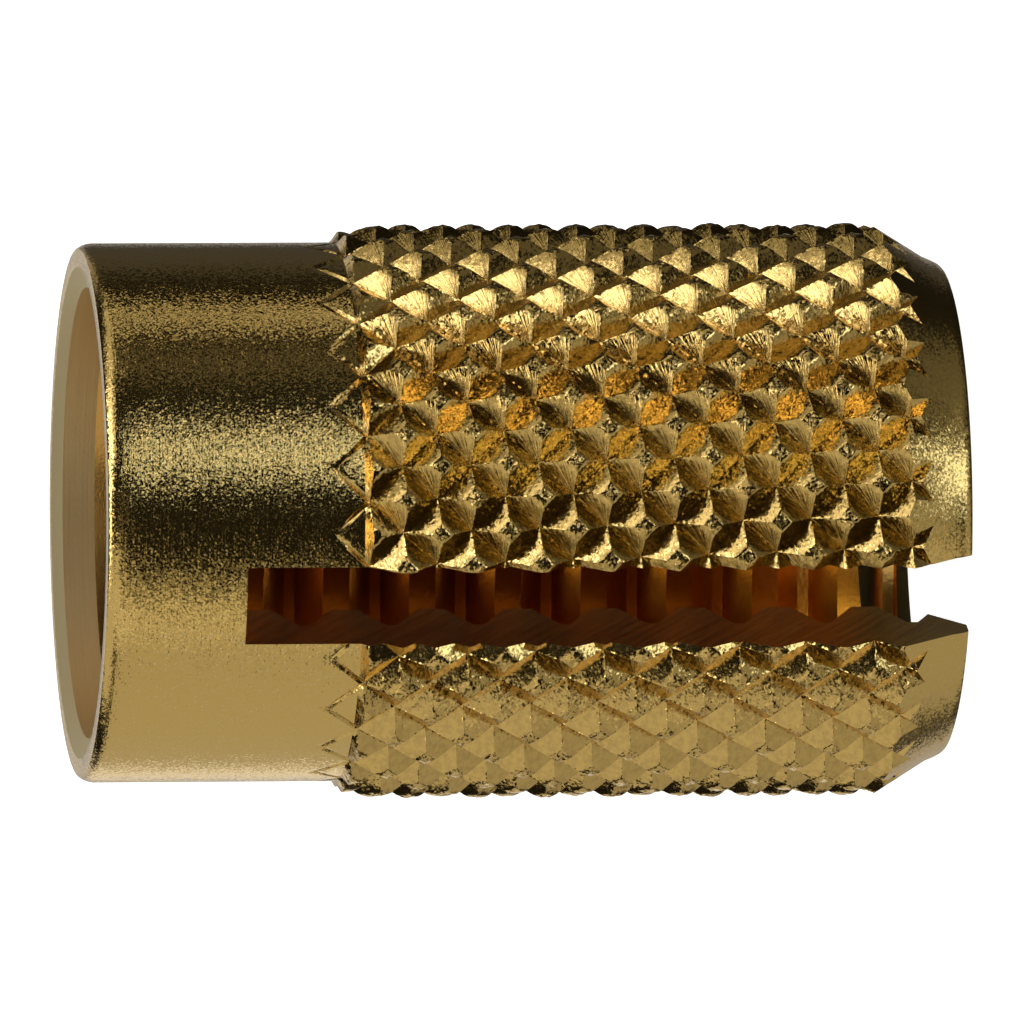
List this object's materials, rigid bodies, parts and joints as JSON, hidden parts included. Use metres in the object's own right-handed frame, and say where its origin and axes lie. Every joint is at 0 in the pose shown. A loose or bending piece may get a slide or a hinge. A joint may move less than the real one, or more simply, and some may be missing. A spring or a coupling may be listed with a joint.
{
  "type": "press-in threaded insert for plastic",
  "caption": "Round brass insert for plastic with a plain collar, diamond knurl, tapered nose, diametral saw slot and internal screw thread; it sits flush and spreads as a screw goes in.",
  "frame": {"origin": "on the axis at the tip of the slotted nose, on which the insert stands", "axes": "+Z along the axis from the nose to the mouth that the screw enters, +Y along the saw slot, +X across it"},
  "size_m": [0.0084, 0.0082, 0.0126],
  "materials": {
    "brass": "turned satin collar, rolled knurl"
  },
  "bodies": {
    "root": {"insert": "brass"}
  },
  "joints": []
}
